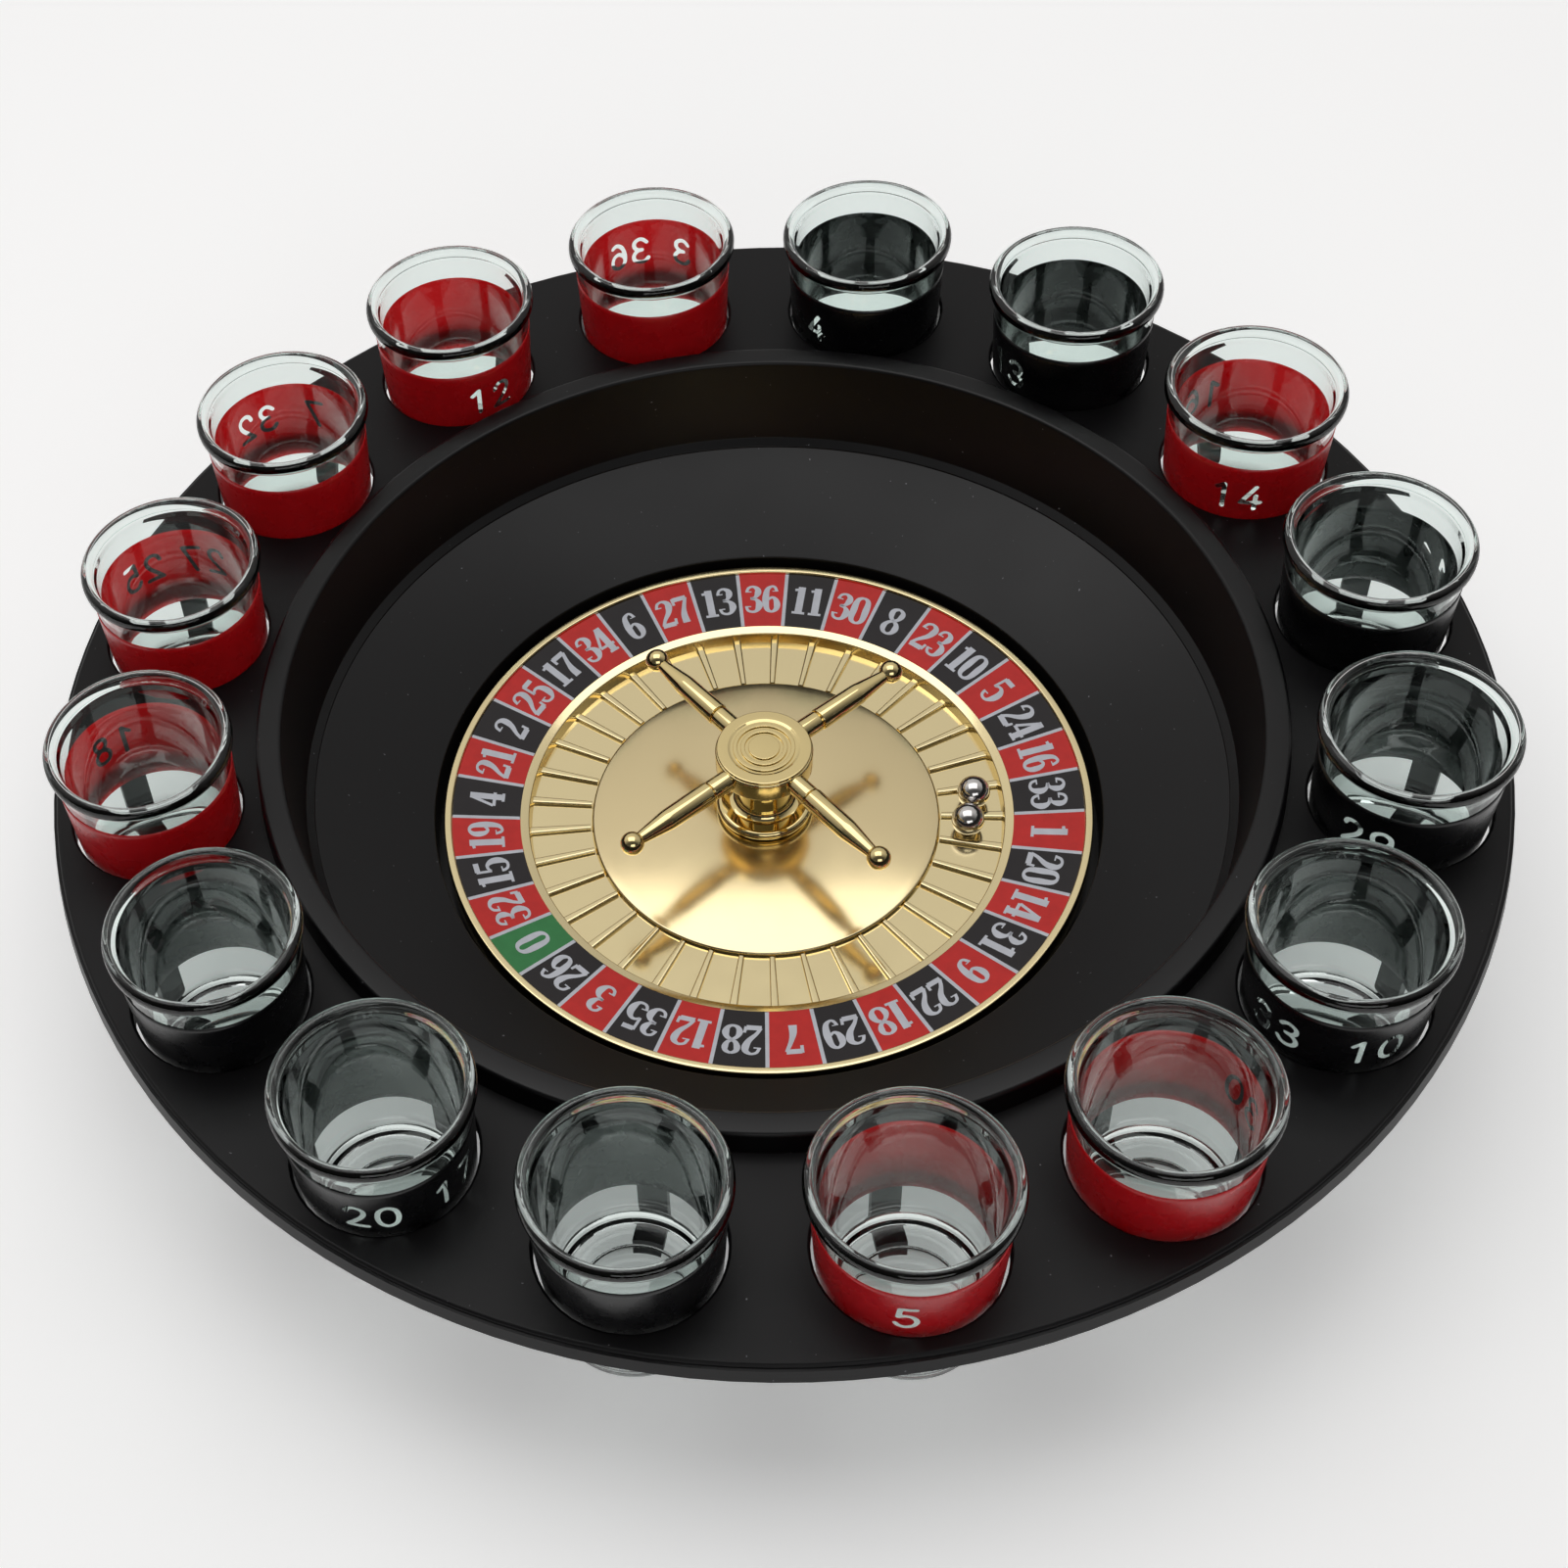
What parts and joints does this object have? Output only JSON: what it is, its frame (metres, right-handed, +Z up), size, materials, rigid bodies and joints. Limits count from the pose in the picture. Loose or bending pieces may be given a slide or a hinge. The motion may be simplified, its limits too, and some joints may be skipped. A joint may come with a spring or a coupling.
{
  "type": "roulette wheel",
  "caption": "Table-top roulette wheel with a free-spinning gold rotor in a black bowl, set in a round tray that holds small drinking glasses, with loose steel balls.",
  "frame": {"origin": "centre of the footprint on the table, on the rotor's axis", "axes": "+Z up along the rotor's axis, -Y towards the player"},
  "size_m": [0.295, 0.295, 0.0677],
  "materials": {
    "black_tray": "fine satin moulding",
    "black_bowl": "satin moulding",
    "feet_rubber": "matt",
    "zinc_steel": "zinc plated",
    "bush_brass": "turned",
    "gold_plated_plastic": "gold plated moulding",
    "gold_plated_brass": "polished gold plate",
    "printed_paper": "laminated print, red and black fields with one green",
    "ball_steel": "polished",
    "glass_red_band": "clear glass with red enamel band and clear numbers",
    "glass_black_band": "clear glass with black enamel band and clear numbers"
  },
  "bodies": {
    "base": {"tray_deck": "black_tray", "bowl_rim": "black_bowl", "wheel_bowl": "black_bowl", "deck_screws": "zinc_steel", "rubber_feet": "feet_rubber", "spindle": "zinc_steel", "thrust_washer": "zinc_steel", "keeper_washer": "zinc_steel", "keeper_screw": "zinc_steel"},
    "rotor": {"rotor_disc": "gold_plated_plastic", "number_ring": "printed_paper", "bearing_bush": "bush_brass", "turret_post": "gold_plated_brass", "turret_cap": "gold_plated_brass", "handle_arm_1": "gold_plated_brass", "handle_arm_2": "gold_plated_brass", "handle_arm_3": "gold_plated_brass", "handle_arm_4": "gold_plated_brass"},
    "ball_1": {"ball_1": "ball_steel"},
    "ball_2": {"ball_2": "ball_steel"},
    "glass_01": {"glass_01": "glass_red_band"},
    "glass_02": {"glass_02": "glass_black_band"},
    "glass_03": {"glass_03": "glass_black_band"},
    "glass_04": {"glass_04": "glass_red_band"},
    "glass_05": {"glass_05": "glass_black_band"},
    "glass_06": {"glass_06": "glass_black_band"},
    "glass_07": {"glass_07": "glass_black_band"},
    "glass_08": {"glass_08": "glass_red_band"},
    "glass_09": {"glass_09": "glass_red_band"},
    "glass_10": {"glass_10": "glass_black_band"},
    "glass_11": {"glass_11": "glass_black_band"},
    "glass_12": {"glass_12": "glass_black_band"},
    "glass_13": {"glass_13": "glass_red_band"},
    "glass_14": {"glass_14": "glass_red_band"},
    "glass_15": {"glass_15": "glass_red_band"},
    "glass_16": {"glass_16": "glass_red_band"}
  },
  "joints": [
    {"name": "rotor_spin", "type": "hinge", "parent": "base", "child": "rotor", "pos_m": [0, 0, 0.0098], "axis": [0, 0, 1], "continuous": true},
    {"name": "ball_1_lift", "type": "slide", "parent": "rotor", "child": "ball_1", "axis": [0, 0, 1], "range_m": [0, 0.06]},
    {"name": "ball_2_lift", "type": "slide", "parent": "rotor", "child": "ball_2", "axis": [0, 0, 1], "range_m": [0, 0.06]},
    {"name": "glass_01_lift", "type": "slide", "parent": "base", "child": "glass_01", "axis": [0, 0, 1], "range_m": [0, 0.05]},
    {"name": "glass_02_lift", "type": "slide", "parent": "base", "child": "glass_02", "axis": [0, 0, 1], "range_m": [0, 0.05]},
    {"name": "glass_03_lift", "type": "slide", "parent": "base", "child": "glass_03", "axis": [0, 0, 1], "range_m": [0, 0.05]},
    {"name": "glass_04_lift", "type": "slide", "parent": "base", "child": "glass_04", "axis": [0, 0, 1], "range_m": [0, 0.05]},
    {"name": "glass_05_lift", "type": "slide", "parent": "base", "child": "glass_05", "axis": [0, 0, 1], "range_m": [0, 0.05]},
    {"name": "glass_06_lift", "type": "slide", "parent": "base", "child": "glass_06", "axis": [0, 0, 1], "range_m": [0, 0.05]},
    {"name": "glass_07_lift", "type": "slide", "parent": "base", "child": "glass_07", "axis": [0, 0, 1], "range_m": [0, 0.05]},
    {"name": "glass_08_lift", "type": "slide", "parent": "base", "child": "glass_08", "axis": [0, 0, 1], "range_m": [0, 0.05]},
    {"name": "glass_09_lift", "type": "slide", "parent": "base", "child": "glass_09", "axis": [0, 0, 1], "range_m": [0, 0.05]},
    {"name": "glass_10_lift", "type": "slide", "parent": "base", "child": "glass_10", "axis": [0, 0, 1], "range_m": [0, 0.05]},
    {"name": "glass_11_lift", "type": "slide", "parent": "base", "child": "glass_11", "axis": [0, 0, 1], "range_m": [0, 0.05]},
    {"name": "glass_12_lift", "type": "slide", "parent": "base", "child": "glass_12", "axis": [0, 0, 1], "range_m": [0, 0.05]},
    {"name": "glass_13_lift", "type": "slide", "parent": "base", "child": "glass_13", "axis": [0, 0, 1], "range_m": [0, 0.05]},
    {"name": "glass_14_lift", "type": "slide", "parent": "base", "child": "glass_14", "axis": [0, 0, 1], "range_m": [0, 0.05]},
    {"name": "glass_15_lift", "type": "slide", "parent": "base", "child": "glass_15", "axis": [0, 0, 1], "range_m": [0, 0.05]},
    {"name": "glass_16_lift", "type": "slide", "parent": "base", "child": "glass_16", "axis": [0, 0, 1], "range_m": [0, 0.05]}
  ]
}
